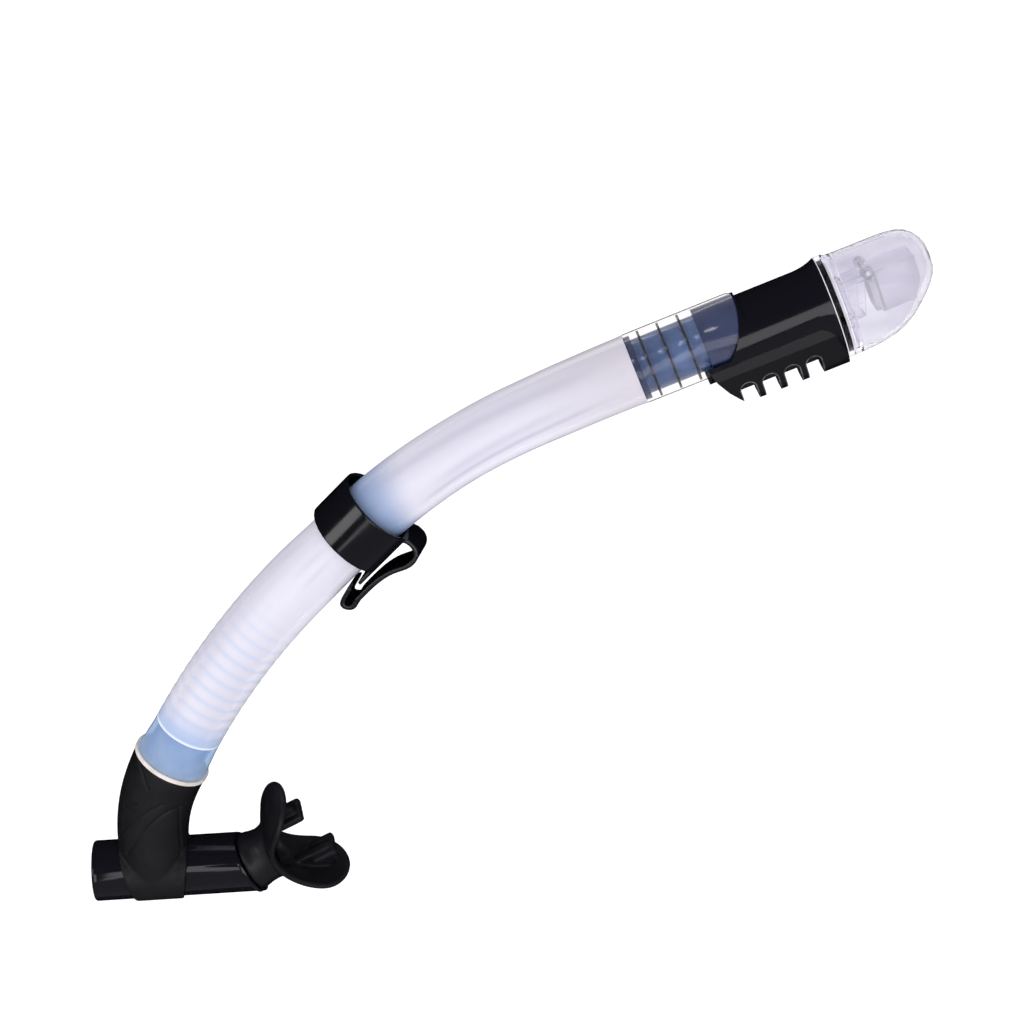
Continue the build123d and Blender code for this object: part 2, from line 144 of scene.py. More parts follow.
class Shader:
    """A principled material with small helpers for its procedural inputs."""

    def __init__(self, name, colour, roughness, **sockets):
        self.material = bpy.data.materials.new(name)
        self.material.use_nodes = True
        self.tree = self.material.node_tree
        self.bsdf = self.tree.nodes["Principled BSDF"]
        self.bsdf.inputs["Base Color"].default_value = (*colour, 1)
        self.bsdf.inputs["Roughness"].default_value = roughness
        for socket, value in sockets.items():
            self.bsdf.inputs[socket.replace("_", " ")].default_value = value
        self.coordinates = self.tree.nodes.new("ShaderNodeTexCoord").outputs["Object"]

    def node(self, kind, **values):
        node = self.tree.nodes.new(kind)
        for key, value in values.items():
            setattr(node, key, value)
        return node

    def link(self, a, b):
        self.tree.links.new(a, b)

    def noise(self, scale, detail=4.0, roughness=0.55, stretch=None):
        noise = self.node("ShaderNodeTexNoise")
        noise.inputs["Scale"].default_value = scale
        noise.inputs["Detail"].default_value = detail
        noise.inputs["Roughness"].default_value = roughness
        source = self.coordinates
        if stretch:
            mapping = self.node("ShaderNodeMapping")
            mapping.inputs["Rotation"].default_value = (0, radians(stretch[0]), 0)
            mapping.inputs["Scale"].default_value = stretch[1:]
            self.link(source, mapping.inputs["Vector"])
            source = mapping.outputs["Vector"]
        self.link(source, noise.inputs["Vector"])
        return noise.outputs["Fac"]

    def spread(self, value, low, high, start=0.3, end=0.7):
        ramp = self.node("ShaderNodeMapRange")
        for socket, number in zip(("From Min", "From Max", "To Min", "To Max"), (start, end, low, high)):
            ramp.inputs[socket].default_value = number
        self.link(value, ramp.inputs["Value"])
        return ramp.outputs["Result"]

    def tint(self, value, a, b, start=0.3, end=0.7):
        ramp = self.node("ShaderNodeValToRGB")
        ramp.color_ramp.elements[0].position, ramp.color_ramp.elements[1].position = start, end
        ramp.color_ramp.elements[0].color, ramp.color_ramp.elements[1].color = (*a, 1), (*b, 1)
        self.link(value, ramp.inputs["Fac"])
        return ramp.outputs["Color"]

    def bump(self, value, height, strength=1.0):
        bump = self.node("ShaderNodeBump")
        bump.inputs["Distance"].default_value = height
        bump.inputs["Strength"].default_value = strength
        self.link(value, bump.inputs["Height"])
        self.link(bump.outputs["Normal"], self.bsdf.inputs["Normal"])

    def math(self, operation, *values):
        """Result of a math node on values that are numbers or nodes' outputs."""
        node = self.node("ShaderNodeMath", operation=operation)
        for socket, value in zip(node.inputs, values):
            if isinstance(value, (int, float)):
                socket.default_value = value
            else:
                self.link(value, socket)
        return node.outputs["Value"]

    def mix(self, under, over, share):
        """The colour under with a share of the colour over it; each is a colour or a node's output."""
        node = self.node("ShaderNodeMix", data_type="RGBA")
        for name, colour in (("A", under), ("B", over)):
            if isinstance(colour, tuple):
                node.inputs[name].default_value = (*colour, 1)
            else:
                self.link(colour, node.inputs[name])
        self.link(share, node.inputs["Factor"])
        return node.outputs["Result"]

    def away(self, centre=(0, 0, 0), **parts):
        """Distance from a centre, in the plane or the space of the parts given as X, Y or Z."""
        point = self.node("ShaderNodeCombineXYZ")
        for name, value in parts.items():
            self.link(value, point.inputs[name])
        gap = self.node("ShaderNodeVectorMath", operation="DISTANCE")
        gap.inputs[1].default_value = centre
        self.link(point.outputs["Vector"], gap.inputs[0])
        return gap.outputs["Value"]

    def attribute(self, name, output="Fac"):
        return self.node("ShaderNodeAttribute", attribute_name=name).outputs[output]

    def along_axis(self, matrix, axis):
        """Millimetres along an axis of a frame, at each point of the surface."""
        local = (TO_ROW @ matrix).inverted()
        dot = self.node("ShaderNodeVectorMath", operation="DOT_PRODUCT")
        dot.inputs[1].default_value = Vector(local[axis][:3])
        self.link(self.coordinates, dot.inputs[0])
        return self.math("ADD", dot.outputs["Value"], local[axis][3])


def milky_silicone():
    """Milky silicone with soft flow lines; the corrugations and the dark ring inside are painted on in blue
    as shade seen through it, and the duct's end as a painted pale highlight.
    """
    shader = Shader("tube_milky_silicone", (0.66, 0.645, 0.745), 0.3, Transmission_Weight=0.2, IOR=1.3)
    flecks = shader.node("ShaderNodeTexNoise")
    flecks.inputs["Scale"].default_value = 1.0
    flecks.inputs["Detail"].default_value = 0.0
    shader.link(shader.attribute("flow", "Vector"), flecks.inputs["Vector"])
    colour = shader.tint(flecks.outputs["Fac"], (0.63, 0.615, 0.71), (0.70, 0.69, 0.785), 0.25, 0.75)
    # the corrugation and keeper ring tints are painted shade, and the step's pale line is a painted
    # highlight
    for name, shade, most in (
        ("streak", (0.50, 0.485, 0.60), 1.0), ("corrugation", (0.48, 0.56, 0.74), 0.6),
        ("painted_ring_shade", (0.22, 0.32, 0.54), 0.9), ("foot", (0.33, 0.46, 0.71), 1.0),
        ("tip", (0.54, 0.50, 0.55), 0.5), ("step", (0.84, 0.86, 0.93), 0.9),
    ):
        colour = shader.mix(colour, shade, shader.spread(shader.attribute(name), 0.0, most, 0.0, 1.0))
    shader.link(colour, shader.bsdf.inputs["Base Color"])
    shader.link(shader.spread(shader.noise(90.0, 2.0), 0.3, 0.38), shader.bsdf.inputs["Roughness"])
    shader.bump(shader.noise(30.0, 1.0), 0.0001, 0.2)
    return shader.material


def clear_silicone(name, low, high, clearness, ior):
    """Clearer silicone, stretched over a stub: it hardly bends light, and a coat gives it its gloss."""
    coat = {"Coat_Weight": 0.15, "Coat_Roughness": 0.12}
    shader = Shader(name, high, 0.1, Transmission_Weight=clearness, IOR=ior, **coat)
    shader.link(shader.tint(shader.noise(70.0, 3.0), low, high), shader.bsdf.inputs["Base Color"])
    shader.link(shader.spread(shader.noise(300.0), 0.06, 0.14), shader.bsdf.inputs["Roughness"])
    shader.bump(shader.noise(110.0, 2.0), 0.00015, 0.3)
    return shader.material


def gloss_black(name, colour=BLACK, specular=0.5):
    shader = Shader(name, colour, 0.12, Specular_IOR_Level=specular)
    shader.link(shader.spread(shader.noise(90.0), 0.09, 0.19), shader.bsdf.inputs["Roughness"])
    dark = tuple(c * 0.6 for c in colour)
    shader.link(shader.tint(shader.noise(14.0, 2.0), dark, colour), shader.bsdf.inputs["Base Color"])
    shader.bump(shader.noise(60.0, 2.0), 0.00005, 0.35)
    return shader.material


def rubber(name, colour, low, high, specular=0.5):
    shader = Shader(name, colour, high, Specular_IOR_Level=specular)
    light = tuple(c * 1.5 for c in colour)
    shader.link(shader.tint(shader.noise(120.0, 5.0), colour, light), shader.bsdf.inputs["Base Color"])
    shader.link(shader.spread(shader.noise(260.0, 4.0), low, high), shader.bsdf.inputs["Roughness"])
    shader.bump(shader.noise(900.0, 2.0), 0.00004, 0.6)
    return shader.material


def clear_plastic(name, low, high, roughness, clearness, ior):
    shader = Shader(name, high, roughness, Transmission_Weight=clearness, IOR=ior)
    streaks = shader.noise(70.0, 3.0, 0.6, stretch=(20.6, 0.3, 1, 1))
    shader.link(shader.tint(streaks, low, high, 0.35, 0.65), shader.bsdf.inputs["Base Color"])
    wear = shader.spread(shader.noise(130.0), roughness * 0.6, roughness * 1.6)
    shader.link(wear, shader.bsdf.inputs["Roughness"])
    shader.bump(shader.noise(38.0, 1.0), 0.0003, 0.12)
    return shader.material


def frosted(name, colour, transmission):
    shader = Shader(name, colour, 0.35, Transmission_Weight=transmission, IOR=1.12)
    light = tuple(min(1, c * 1.12) for c in colour)
    shader.link(shader.tint(shader.noise(90.0), colour, light), shader.bsdf.inputs["Base Color"])
    shader.link(shader.spread(shader.noise(240.0), 0.3, 0.44), shader.bsdf.inputs["Roughness"])
    return shader.material


def housing_black():
    """Polished body, satin keel with a painted highlight on its slot edges, and a stub that shows navy
    through the silicone.
    """
    shader = Shader("housing_black_plastic", BLACK, 0.15)
    along, across, height = (shader.along_axis(TOP, axis) for axis in (0, 1, 2))
    gloss = shader.spread(height, 0.34, 0.1, -9.0, -8.0)
    wear = shader.spread(shader.noise(150.0, 4.0), -0.03, 0.05)
    shader.link(shader.math("ADD", gloss, wear), shader.bsdf.inputs["Roughness"])
    radius = shader.away(Y=across, Z=height)
    to_arc = shader.away((TUBE_END_ARC[0], 0, TUBE_END_ARC[1]), X=along, Z=height)
    covered = shader.spread(to_arc, 1.0, 0.0, TUBE_END_ARC[2] - 0.5, TUBE_END_ARC[2] - 0.2)
    in_spigot = shader.spread(along, 1.0, 0.0, SPIGOT_LENGTH - 0.3, SPIGOT_LENGTH)
    colour = BLACK
    zones = ((RIB_RADIUS - 0.1, covered, (0.006, 0.013, 0.048), (0.014, 0.027, 0.085)),
             (SPIGOT_RADIUS + 0.3, in_spigot, (0.030, 0.066, 0.17), (0.078, 0.138, 0.30)))
    for reach, reached, low, high in zones:
        inside = shader.math("MULTIPLY", shader.spread(radius, 1.0, 0.0, reach - 0.1, reach), reached)
        colour = shader.mix(colour, shader.tint(shader.noise(60.0, 3.0), low, high), inside)
    # painted highlight: the drain slots' edges are painted paler where they would catch light
    painted_rim_highlight = shader.tint(shader.noise(400.0, 2.0), (0.03, 0.03, 0.036), (0.13, 0.13, 0.15))
    colour = shader.mix(colour, painted_rim_highlight, slot_rim_highlight_mask(shader, along, height))
    shader.link(colour, shader.bsdf.inputs["Base Color"])
    shader.bump(shader.noise(420.0, 3.0), 0.00003, 0.5)
    return shader.material


def slot_rim_highlight_mask(shader, along, height):
    """A mask of the keel's drain slots' edges, where a paler colour is painted as their highlight: arches
    with straight sides.
    """
    first, pitch, count = 36.8, 8.7, 4
    reach, arch_height = 3.0, -20.8
    x = shader.math("WRAP", shader.math("SUBTRACT", along, first), pitch / 2, -pitch / 2)
    z = shader.math("MAXIMUM", shader.math("SUBTRACT", height, arch_height), 0.0)
    radius = shader.away(X=x, Z=z)
    low_end, high_end = first - pitch / 2, first + (count - 0.5) * pitch
    mask = shader.spread(radius, 0.0, 1.0, reach - 0.15, reach - 0.05)
    mask = shader.math("MULTIPLY", mask, shader.spread(radius, 1.0, 0.0, reach + 0.2, reach + 0.5))
    mask = shader.math("MULTIPLY", mask, shader.spread(along, 1.0, 0.0, high_end - 0.3, high_end))
    return shader.math("MULTIPLY", mask, shader.spread(along, 0.0, 1.0, low_end, low_end + 0.3))


def barrel_black():
    """Gloss black, with the elbow's duct a light blue where it stands inside the milky hose."""
    shader = Shader("barrel_black_plastic", BLACK, 0.12)
    up = shader.along_axis(ahead(RING_AT), 0)
    blue = shader.tint(shader.noise(50.0, 3.0), (0.045, 0.145, 0.41), (0.09, 0.235, 0.53))
    colour = shader.mix(BLACK, blue, shader.spread(up, 0.0, 1.0, 0.6, 1.6))
    shader.link(colour, shader.bsdf.inputs["Base Color"])
    shader.link(shader.spread(shader.noise(90.0), 0.08, 0.17), shader.bsdf.inputs["Roughness"])
    shader.bump(shader.noise(60.0, 2.0), 0.00004, 0.3)
    return shader.material


def brushed_steel():
    shader = Shader("pin_steel", (0.6, 0.6, 0.62), 0.3, Metallic=1.0)
    brushing = shader.noise(900.0, 2.0, stretch=(0, 1, 0.05, 1))
    shader.link(shader.spread(brushing, 0.2, 0.42), shader.bsdf.inputs["Roughness"])
    return shader.material


def floor_white():
    shader = Shader("floor_white", (0.94, 0.94, 0.94), 0.75)
    mottle = shader.tint(shader.noise(3.0), (0.93, 0.93, 0.93), (0.95, 0.95, 0.95))
    shader.link(mottle, shader.bsdf.inputs["Base Color"])
    shader.bsdf.inputs["Emission Color"].default_value = (1, 1, 1, 1)
    shader.bsdf.inputs["Emission Strength"].default_value = 0.2
    return shader.material


# ---- Mesh helpers --------------------------------------------------------------------------------
def mesh_object(name, vertices, faces, body=None, smooth=True, materials=(), indices=None):
    data = bpy.data.meshes.new(name)
    data.from_pydata([tuple(v) for v in vertices], [], faces)
    data.validate()
    for material in materials:
        data.materials.append(material)
    if indices is not None:
        data.polygons.foreach_set("material_index", indices)
    data.polygons.foreach_set("use_smooth", [smooth] * len(data.polygons))
    data.update()
    piece = bpy.data.objects.new(name, data)
    bpy.context.collection.objects.link(piece)
    if body:
        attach(piece, body)
    return piece


def loops_mesh(loops, wrap=False):
    """Quads between rings of equally many points. Returns vertices and faces."""
    count = len(loops[0])
    vertices = [v for loop in loops for v in loop]
    faces = []
    pairs = [(i, i + 1) for i in range(len(loops) - 1)]
    if wrap:
        pairs.append((len(loops) - 1, 0))
    for a, b in pairs:
        for k in range(count):
            n = (k + 1) % count
            faces.append((a * count + k, a * count + n, b * count + n, b * count + k))
    return vertices, faces


def smooth_step(value, start, end):
    t = min(1.0, max(0.0, (value - start) / (end - start)))
    return t * t * (3 - 2 * t)


def bell(offset, width):
    """1 in the middle, falling off smoothly on both sides."""
    return exp(-(offset / width) ** 2)


def profile(stations, value):
    """Smooth value between stations of (place, value)."""
    if value <= stations[0][0]:
        return stations[0][1]
    for (a, u), (b, v) in zip(stations, stations[1:]):
        if value <= b:
            return u + (v - u) * smooth_step(value, a, b)
    return stations[-1][1]


def circle_loop(matrix, x, radius, count):
    turns = [2 * pi * k / count for k in range(count)]
    return [row(matrix, x, radius * sin(turn), radius * cos(turn)) for turn in turns]


# ---- Tube ----------------------------------------------------------------------------------------
TUBE_OUTSIDE = (
    (RING_AT + RING_THICK, 15.0), (RING_AT + 6.5, 14.3), (RING_AT + 14, 13.9), (HOSE_END, 13.75),
    (HOSE_END + 20, 13.35), (HOSE_END + 46, 13.25), (HOSE_END + 84, 12.9), (HOSE_END + 108, 13.1),
    (HOSE_END + 130, 13.35), (SPIGOT_AT - 6, 13.5), (SPIGOT_AT + 3, 13.75),
)
TUBE_POINTS = 128                # round the tube
END_ROWS = 28                    # along its curved top end
END_REACH = 20.0                 # counted as its length there, for the colours
END_EDGE = 0.75                  # how far its edge is rounded off
FINE, COARSE = 0.45, 0.9         # from one ring of points to the next, in the hose and above it
DUCT_END = RING_AT + 17          # the bore is plain up to here
FOOT_END = RING_AT + 16.6        # the hose is clearer up to here, where it is stretched over the duct
DUCT_END_HIGHLIGHT_AT = FOOT_END + 0.8         # the duct's end, with a painted highlight on it as a pale line
DUCT_END_HIGHLIGHT_WIDTH = 0.6
CORRUGATION_PITCH = 5.4
CORRUGATION_DEPTH = 1.35         # in the bore
CORRUGATION_SHOWING = 0.16       # how far the outside follows it
CORRUGATION_START = RING_AT + 18.5
CORRUGATION_END = HOSE_END - 4


def corrugation(distance):
    """How deep, from 0 to 1, the corrugations are cut into the hose's bore."""
    if not CORRUGATION_START < distance < CORRUGATION_END:
        return 0.0
    phase = (distance - CORRUGATION_START) / CORRUGATION_PITCH * 2 * pi
    fade = smooth_step(distance, CORRUGATION_START, CORRUGATION_START + 5)
    fade *= 1 - smooth_step(distance, CORRUGATION_END - 34, CORRUGATION_END)
    return fade * (0.5 - 0.5 * cos(phase)) ** 2.2


# Flow lines: degrees round, degrees of drift over 100 mm, width in degrees, from, to, depth
FLOW_LINES = (
    (-112, 14, 4, 205, 300, 0.9), (-96, 20, 7, 215, 290, 0.5), (-40, -6, 9, 195, 300, 0.55),
    (-62, 4, 5, 150, 178, 0.6), (-84, 10, 4, 148, 176, 0.8), (-20, 0, 8, 90, 180, 0.5),
    (-150, 6, 7, 190, 300, 0.6), (70, 5, 8, 150, 300, 0.5), (110, -8, 6, 180, 300, 0.7),
    (150, 4, 8, 100, 290, 0.5),
)


def flow_streak(distance, turn):
    """How strongly, from 0 to 1, a flow line darkens a point at a distance and an angle round the tube."""
    total = 0.0
    for middle, drift, width, start, end, depth in FLOW_LINES:
        off = (turn * 180 / pi - middle - drift * (distance - start) / 100 + 180) % 360 - 180
        if abs(off) < 3 * width:
            fade = smooth_step(distance, start, start + 18) * (1 - smooth_step(distance, end - 25, end))
            total += depth * fade * bell(off, width)
    return min(1.0, total)


def keeper_ring_shade(distance, around):
    """How far, from 0 to 1, the dark ring is painted in as shade seen through the silicone, under the clip
    and just above it.

    around is 1 on the outer bend, where it reaches furthest, and -1 on the inner one.
    """
    start = KEEPER_AT + 4 - 3.5 * around
    reach = 18 + 13 * max(0.0, 0.3 + 0.7 * around)
    fading = smooth_step(distance, start + 0.25 * reach, start + reach)
    return smooth_step(distance, start - 13, start - 9) * (1 - fading)


def tube_bore(distance):
    """Inside radius: over the duct, corrugated in the hose, then plain, then over the spigot."""
    if distance < DUCT_END:
        return DUCT_RADIUS + 0.05
    over_spigot = smooth_step(distance, SPIGOT_AT - 0.8, SPIGOT_AT - 0.3)
    return BORE + CORRUGATION_DEPTH * corrugation(distance) + 0.2 * over_spigot


def tube_end_x(z):
    """Where the tube's curved top end lies, along the dry top's axis, at a height."""
    x, height, radius = TUBE_END_ARC
    return x + (radius ** 2 - (z - height) ** 2) ** 0.5


def tube_kind(distance):
    """Which material the tube has at a distance: 0 milky, 1 clear over the spigot, 2 over the duct."""
    return 2 if distance < FOOT_END else 1 if distance > SPIGOT_AT - 0.6 else 0


def end_loop(radius, last, share, gap):
    """A ring of the top end, at a share of the way from the last plain ring to the curved end."""
    loop = []
    for k in range(TUBE_POINTS):
        y, z = radius * sin(2 * pi * k / TUBE_POINTS), radius * cos(2 * pi * k / TUBE_POINTS)
        x = last + (tube_end_x(z) - last - gap) * share
        loop.append(row(TOP, x, y, z))
    return loop


def build_tube(milky, clear_top, clear_foot):
    """Outside from the foot to the top end, then inside from there back to the foot."""
    loops, loop_places, kinds = [], [], []

    def add(loop, place, kind):
        loops.append(loop)
        loop_places.append(place)
        kinds.append(kind)

    start = RING_AT + RING_THICK
    distance = start
    while distance < SPIGOT_AT + 12:
        radius = profile(TUBE_OUTSIDE, distance) - CORRUGATION_SHOWING * corrugation(distance)
        add(circle_loop(ahead(distance), 0, radius, TUBE_POINTS), distance, tube_kind(distance))
        distance += FINE if distance < HOSE_END else COARSE
    last = distance - SPIGOT_AT
    shares = [k / END_ROWS for k in range(END_ROWS + 1)]
    for share in shares[1:]:
        radius = profile(TUBE_OUTSIDE, SPIGOT_AT + 30) - END_EDGE * smooth_step(share, 0.93, 1.0)
        add(end_loop(radius, last, share, 0.15), distance + END_REACH * share, 1)
    for share in reversed(shares):
        add(end_loop(SPIGOT_RADIUS + 0.1, last, share, 0.3), distance + END_REACH * share, 1)
    while distance > start:
        distance = max(start, distance - (COARSE if distance > HOSE_END else FINE))
        bore = circle_loop(ahead(distance), 0, tube_bore(distance), TUBE_POINTS)
        add(bore, distance, tube_kind(distance))
    vertices, faces = loops_mesh(loops, wrap=True)
    indices = [kinds[face[0] // TUBE_POINTS] for face in faces]
    tube = mesh_object("tube_skin", vertices, faces, None, True, (milky, clear_top, clear_foot), indices)
    places = [place for place in loop_places for _ in range(TUBE_POINTS)]
    turns = [2 * pi * k / TUBE_POINTS for k in range(TUBE_POINTS)] * len(loops)
    points = list(zip(places, turns))
    unrolled = [(d / 110.0, 1.3 * sin(a), 1.3 * cos(a)) for d, a in points]
    flow = tube.data.attributes.new("flow", "FLOAT_VECTOR", "POINT")
    flow.data.foreach_set("vector", [c for point in unrolled for c in point])
    shares = {
        # painted shade: the bore's corrugations tinted onto the outside, stronger on one side of the tube
        "corrugation": [corrugation(d) * (0.6 - 0.4 * sin(a + 0.5)) for d, a in points],
        "streak": [flow_streak(d, a) for d, a in points],
        # painted shade where the dark keeper ring lies behind the silicone
        "painted_ring_shade": [keeper_ring_shade(d, cos(a)) for d, a in points],
        "foot": [1 - smooth_step(d, RING_AT + 14, RING_AT + 31) for d in places],
        # painted highlight: a pale ring painted where the duct ends inside
        "step": [bell(d - DUCT_END_HIGHLIGHT_AT, DUCT_END_HIGHLIGHT_WIDTH) for d in places],
        "tip": [smooth_step(d, SPIGOT_AT - 55, SPIGOT_AT - 2) for d in places],
    }
    for name, values in shares.items():
        tube.data.attributes.new(name, "FLOAT", "POINT").data.foreach_set("value", values)
    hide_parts("upper_tube", "flex_hose")
    top_of_hose, foot_of_hose = row(ahead(HOSE_END), 0, 0, 0), row(ahead(RING_AT + 24), 0, 0, 0)
    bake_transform(tube)
    return tube


# ---- Clear cap -----------------------------------------------------------------------------------
SKIRT_END = 81.5                 # the cap is clearer up to here, where it goes over the collar
SKIRT_LIPS = ((75.9, 76.3), (79.3, 79.7))
CAP_WALL = 1.5
CAP_NOSE, CAP_INNER_NOSE = (116.85, 0, -1.3), (114.9, 0, -1.3)
CAP_STATIONS = (
    # along the top, top, bottom, half width
    (76.0, 14.0, -27.1, 15.4), (76.35, 14.0, -27.1, 15.4), (79.4, 14.0, -27.1, 15.4),
    (80.2, 13.3, -27.0, 15.1), (84.0, 13.2, -27.0, 15.1), (90.0, 13.1, -26.4, 15.1),
    (96.0, 13.1, -25.0, 15.0), (100.0, 13.1, -23.3, 14.7), (104.0, 12.9, -20.8, 14.1),
    (108.0, 12.3, -17.2, 12.9), (111.0, 11.1, -14.2, 11.4), (113.6, 9.0, -11.2, 9.3),
    (115.4, 6.4, -8.6, 6.9), (116.4, 3.8, -6.4, 4.4), (116.75, 1.6, -4.2, 2.1),
)


def cap_loop(place, top, bottom, half, inset, count=112):
    middle, height = (top + bottom) / 2, (top - bottom) / 2 - inset
    half -= inset
    loop = []
    for k in range(count):
        angle = 2 * pi * k / count
        loop.append(row(TOP, place, half * sin(angle), middle + height * cos(angle)))
    return loop


def cap_zone(place):
    """Which material the cap has at a place: 0 its dome, 1 the clearer skirt, 2 the skirt's pale lips."""
    if any(start < place < end for start, end in SKIRT_LIPS):
        return 2
    return 1 if place < SKIRT_END else 0


def build_cap(clear, skirt, lip):
    dense = []
    for (a, *u), (b, *v) in zip(CAP_STATIONS, CAP_STATIONS[1:]):
        steps = 4 if b - a > 2 else 2
        for k in range(steps):
            share = k / steps
            dense.append((a + (b - a) * share, *[p + (q - p) * share for p, q in zip(u, v)]))
    dense.append(CAP_STATIONS[-1])
    outer = [cap_loop(*station, 0.0) for station in dense]
    nose = [row(TOP, *CAP_NOSE)] * len(outer[0])
    inner = []
    for place, top, bottom, half in reversed(dense[:-4]):
        back = place - CAP_WALL * smooth_step(place, 84.0, 116.0)
        inner.append(cap_loop(back, top, bottom, half, CAP_WALL))
    inner_nose = [row(TOP, *CAP_INNER_NOSE)] * len(outer[0])
    vertices, faces = loops_mesh(outer + [nose, inner_nose] + inner, wrap=True)
    places = [place for place, *_ in dense] + 2 * [CAP_NOSE[0]]
    places += [place for place, *_ in reversed(dense[:-4])]
    indices = [cap_zone(places[face[0] // len(outer[0])]) for face in faces]
    cap = mesh_object("clear_cap_dome", vertices, faces, None, True, (clear, skirt, lip), indices)
    tidy_mesh(cap)
    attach(cap, "tube")
    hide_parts("clear_cap")
    return cap


def tidy_mesh(piece, merge=0.00001):
    """Joins doubled points, drops empty faces and turns all faces outwards."""
    work = bmesh.new()
    work.from_mesh(piece.data)
    bmesh.ops.remove_doubles(work, verts=work.verts, dist=merge)
    bmesh.ops.dissolve_degenerate(work, dist=merge / 10, edges=work.edges)
    bmesh.ops.recalc_face_normals(work, faces=work.faces)
    work.to_mesh(piece.data)
    work.free()


def fuse(piece, voxel, rounds):
    """Makes one closed skin of a piece's overlapping shapes, and rounds its edges off."""
    remesh = piece.modifiers.new("remesh", "REMESH")
    remesh.mode, remesh.voxel_size = "VOXEL", voxel
    relax = piece.modifiers.new("relax", "SMOOTH")
    relax.factor, relax.iterations = 0.5, rounds
    bpy.context.view_layer.update()
    graph = bpy.context.evaluated_depsgraph_get()
    data = bpy.data.meshes.new_from_object(piece.evaluated_get(graph))
    piece.modifiers.clear()
    piece.data = data
    data.polygons.foreach_set("use_smooth", [True] * len(data.polygons))
    return data


# ---- Soft pieces made from their CAD solids ------------------------------------------------------
def softened(node, name, voxel, rounds, material, body, shape=None):
    """A rubber piece: the CAD solid with its edges rounded as a moulding has them."""
    source = NODES[node]
    piece = bpy.data.objects.new(name, source.data.copy())
    bpy.context.collection.objects.link(piece)
    piece.data.materials.clear()
    data = fuse(piece, voxel, rounds)
    if shape:
        points = np.empty(len(data.vertices) * 3)
        data.vertices.foreach_get("co", points)
        normals = np.array([v.normal for v in data.vertices])
        points = shape(points.reshape(-1, 3), normals)
        data.vertices.foreach_set("co", points.ravel())
    data.materials.append(material)
    data.polygons.foreach_set("use_smooth", [True] * len(data.polygons))
    data.update()
    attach(piece, body)
    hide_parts(node)
    return piece


def to_mm(points):
    return points * 1000.0 + np.array(SLOT)


BOOT_RADIUS = 14.9

# Creases moulded in the boot: depth and half width in millimetres, then the distance along the
# airway and the degrees from its outer bend of each point, alike on both sides.
CREASES = (
    (0.42, 0.55, ((33, 34), (36.5, 57))),
    (0.5, 0.55, ((52.5, 27), (50, 47), (45, 68))),
    (0.5, 0.6, ((19, 24), (26, 47), (31, 65), (36.5, 81), (41, 97))),
    (0.6, 0.6, ((14, 46), (19.5, 63), (25, 76), (31, 89), (35.5, 101), (38.5, 113), (40, 128))),
    (0.35, 0.7, ((40, 126), (29, 137), (14, 146), (6, 136), (1, 132))),
)


def boot_creases(points, normals):
    """Presses all of the boot's creases."""
    for depth, width, path in CREASES:
        for side in (-1, 1):
            line = []
            for distance, angle in path:
                across = side * BOOT_RADIUS * sin(radians(angle))
                line.append(ahead(distance) @ Vector((0, across, BOOT_RADIUS * cos(radians(angle)))))
            points = crease(points, normals, line, depth, width)
    return points


def crease(points, normals, path, depth, width):
    """Presses a groove along a path of points in millimetres."""
    mm = to_mm(points)
    best = np.full(len(mm), 1e9)
    for a, b in zip(path, path[1:]):
        a, b = np.array(a), np.array(b)
        share = np.clip((mm - a) @ (b - a) / ((b - a) @ (b - a)), 0, 1)
        gap = mm - (a + share[:, None] * (b - a))
        radial = np.sum(gap * normals, axis=1)
        best = np.minimum(best, np.where(np.abs(radial) < 4.5, np.sum(gap * gap, axis=1) - radial ** 2, 1e9))
    return points - normals * (depth / 1000 * np.exp(-best / width ** 2))[:, None]


# ---- Mouthpiece ----------------------------------------------------------------------------------
ARCH_RADIUS = 30.0
ARCH_AT = 9.5
SHIELD_REACH = 38.0              # half of the shield's length, along its arc
SHIELD_LOBE = 24.6               # where its lobes are tallest
SHIELD_WAIST, SHIELD_TALL = 11.2, 12.7
SHIELD_BOWL = 95.0               # the larger, the flatter the shield is from its middle to its edge
SHIELD_THICK = 2.2
HOLE_WIDE, HOLE_TALL = 11.4, 8.9
# Two opposite corners and the rounding of a wing's three steps and of its lug
BITE_BLOCKS = (
    ((14.6, 11.5, -1.9), (30.8, 16.0, 1.7), 0.9), ((17.0, 14.0, -1.9), (30.6, 19.5, 1.7), 0.9),
    ((20.6, 17.5, -1.9), (29.6, 23.0, 1.7), 0.9), ((21.0, 12.6, -4.8), (32.4, 16.2, 6.2), 1.2),
)


def shield_height(along):
    """Half height of the shield at a place along its arc: a narrow waist between two round lobes."""
    along = abs(along)
    if along > SHIELD_LOBE:
        share = (along - SHIELD_LOBE) / (SHIELD_REACH - SHIELD_LOBE)
        return SHIELD_TALL * max(0.0, 1 - share * share) ** 0.5
    return SHIELD_WAIST + (SHIELD_TALL - SHIELD_WAIST) * smooth_step(along, 2, SHIELD_LOBE)


def shield_point(along, height, depth):
    """A point of the shield in the mouthpiece's frame; depth goes from its back towards the mouth."""
    angle = along / ARCH_RADIUS
    x = ARCH_AT + ARCH_RADIUS * (1 - cos(angle)) + depth * cos(angle)
    bowl = height * height / SHIELD_BOWL
    return x + bowl * cos(angle), (ARCH_RADIUS - bowl) * sin(angle) - depth * sin(angle), height


